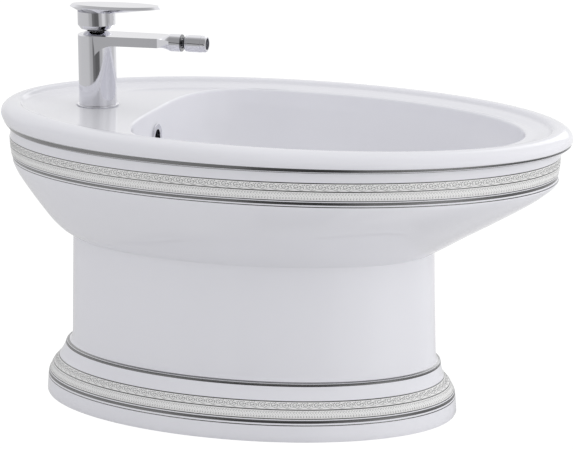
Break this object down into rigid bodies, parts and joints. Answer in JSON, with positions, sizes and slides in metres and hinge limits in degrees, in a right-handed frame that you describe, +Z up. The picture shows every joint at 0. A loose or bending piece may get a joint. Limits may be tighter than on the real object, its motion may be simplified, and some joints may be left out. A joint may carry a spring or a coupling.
{
  "type": "floor-standing bidet with single-lever mixer",
  "caption": "Floor-standing oval bidet in white china with decorated bands, a chrome single-lever mixer with a ball-jointed nozzle, a click waste and a bottle trap.",
  "frame": {"origin": "on the floor under the middle of the oval rim", "axes": "+Z up, -Y towards the front of the bowl, +Y towards the mixer and the wall"},
  "size_m": [0.435, 0.6799, 0.47],
  "materials": {
    "china": "gloss",
    "chrome": "polished",
    "brass": "machined",
    "steel": "satin",
    "white_plastic": "gloss",
    "grey_plastic": "matte",
    "rubber": "matte"
  },
  "bodies": {
    "bidet": {"china_body": "china", "overflow_ring": "chrome", "waste_flange": "chrome", "flange_seal_ring": "rubber", "click_cartridge": "steel", "waste_lower_seal": "rubber", "waste_slip_washer": "white_plastic", "waste_back_nut": "brass", "tail_washer_ring": "rubber", "tail_piece": "white_plastic", "tail_nut_ring": "white_plastic", "trap_head": "white_plastic", "trap_inlet_seal": "rubber", "trap_inlet_nut": "white_plastic", "trap_cup_seal": "rubber", "trap_cup": "white_plastic", "outlet_pipe": "white_plastic", "trap_outlet_seal": "rubber", "trap_outlet_nut": "white_plastic", "base_ring_trim": "chrome", "base_gasket_ring": "rubber", "mixer_body": "chrome", "cartridge_seal_plate": "rubber", "cartridge": "grey_plastic", "cartridge_nut": "brass", "mixer_dome": "chrome", "ball_retainer": "chrome", "deck_washer_ring": "rubber", "clamp_plate_steel": "steel", "stud_front": "steel", "stud_rear": "steel", "stud_nut_front": "steel", "stud_nut_rear": "steel"},
    "lever_carrier": {"lever_turret": "grey_plastic", "tilt_pin": "steel"},
    "lever": {"lever_handle": "chrome", "lever_stem": "steel", "lever_screw": "steel", "lever_screw_cap": "chrome"},
    "nozzle_seat": {"ball_seat": "grey_plastic", "ball_seal_ring": "rubber"},
    "nozzle": {"nozzle_ball": "brass", "nozzle_shell": "chrome", "aerator_seal": "rubber", "aerator_insert": "grey_plastic", "nozzle_end_ring": "chrome"},
    "plug": {"plug_cap": "chrome", "plug_seal": "rubber", "plug_stem_rod": "steel"}
  },
  "joints": [
    {"name": "lever_turn", "type": "hinge", "parent": "bidet", "child": "lever_carrier", "pos_m": [0, 0.227, 0.412], "axis": [0, 0, 1], "range_deg": [-45, 45]},
    {"name": "lever_lift", "type": "hinge", "parent": "lever_carrier", "child": "lever", "pos_m": [0, 0.227, 0.412], "axis": [-1, 0, 0], "range_deg": [0, 20]},
    {"name": "nozzle_turn", "type": "hinge", "parent": "bidet", "child": "nozzle_seat", "pos_m": [0, 0.126, 0.4283], "axis": [0, -1, 0], "continuous": true},
    {"name": "nozzle_tilt", "type": "hinge", "parent": "nozzle_seat", "child": "nozzle", "pos_m": [0, 0.126, 0.4283], "axis": [1, 0, 0], "range_deg": [-15, 15]},
    {"name": "plug_slide", "type": "slide", "parent": "bidet", "child": "plug", "axis": [0, 0, 1], "range_m": [-0.0069, 0]}
  ]
}
